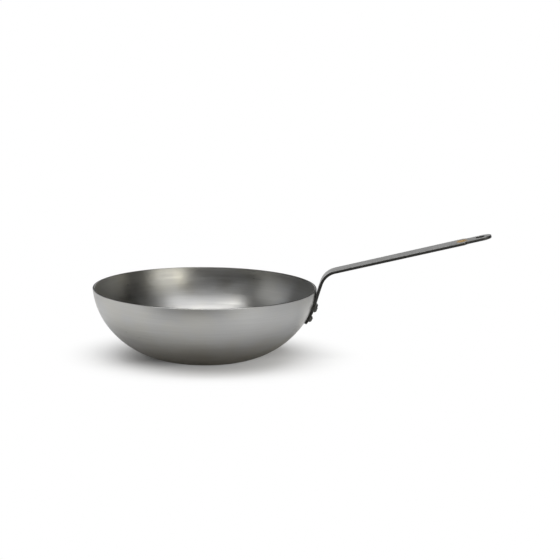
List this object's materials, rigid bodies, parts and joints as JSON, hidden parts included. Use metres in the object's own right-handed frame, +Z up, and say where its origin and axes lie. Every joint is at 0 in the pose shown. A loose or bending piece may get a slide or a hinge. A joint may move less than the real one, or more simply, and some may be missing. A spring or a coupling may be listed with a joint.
{
  "type": "carbon steel wok",
  "caption": "Round flat-based carbon steel wok with one long strip-steel handle, riveted on below the rim and pierced at its tail for hanging.",
  "frame": {"origin": "centre of the flat base's underside, where the bowl's axis meets the surface it stands on", "axes": "+Z up along the bowl's axis, +X towards the handle's tail"},
  "size_m": [0.5691, 0.3216, 0.1869],
  "materials": {
    "bowl_steel": "raw carbon steel, turned brushing round the axis under a thin wax film",
    "handle_steel": "satin strip steel with a thin dark clear coat, ground along its length",
    "rivet_steel": "dark formed steel, satin",
    "spot_enamel": "ochre enamel, glossy"
  },
  "bodies": {
    "root": {"bowl": "bowl_steel", "handle": "handle_steel", "rivet_upper_left": "rivet_steel", "rivet_upper_right": "rivet_steel", "rivet_lower": "rivet_steel", "enamel_spot": "spot_enamel"}
  },
  "joints": []
}
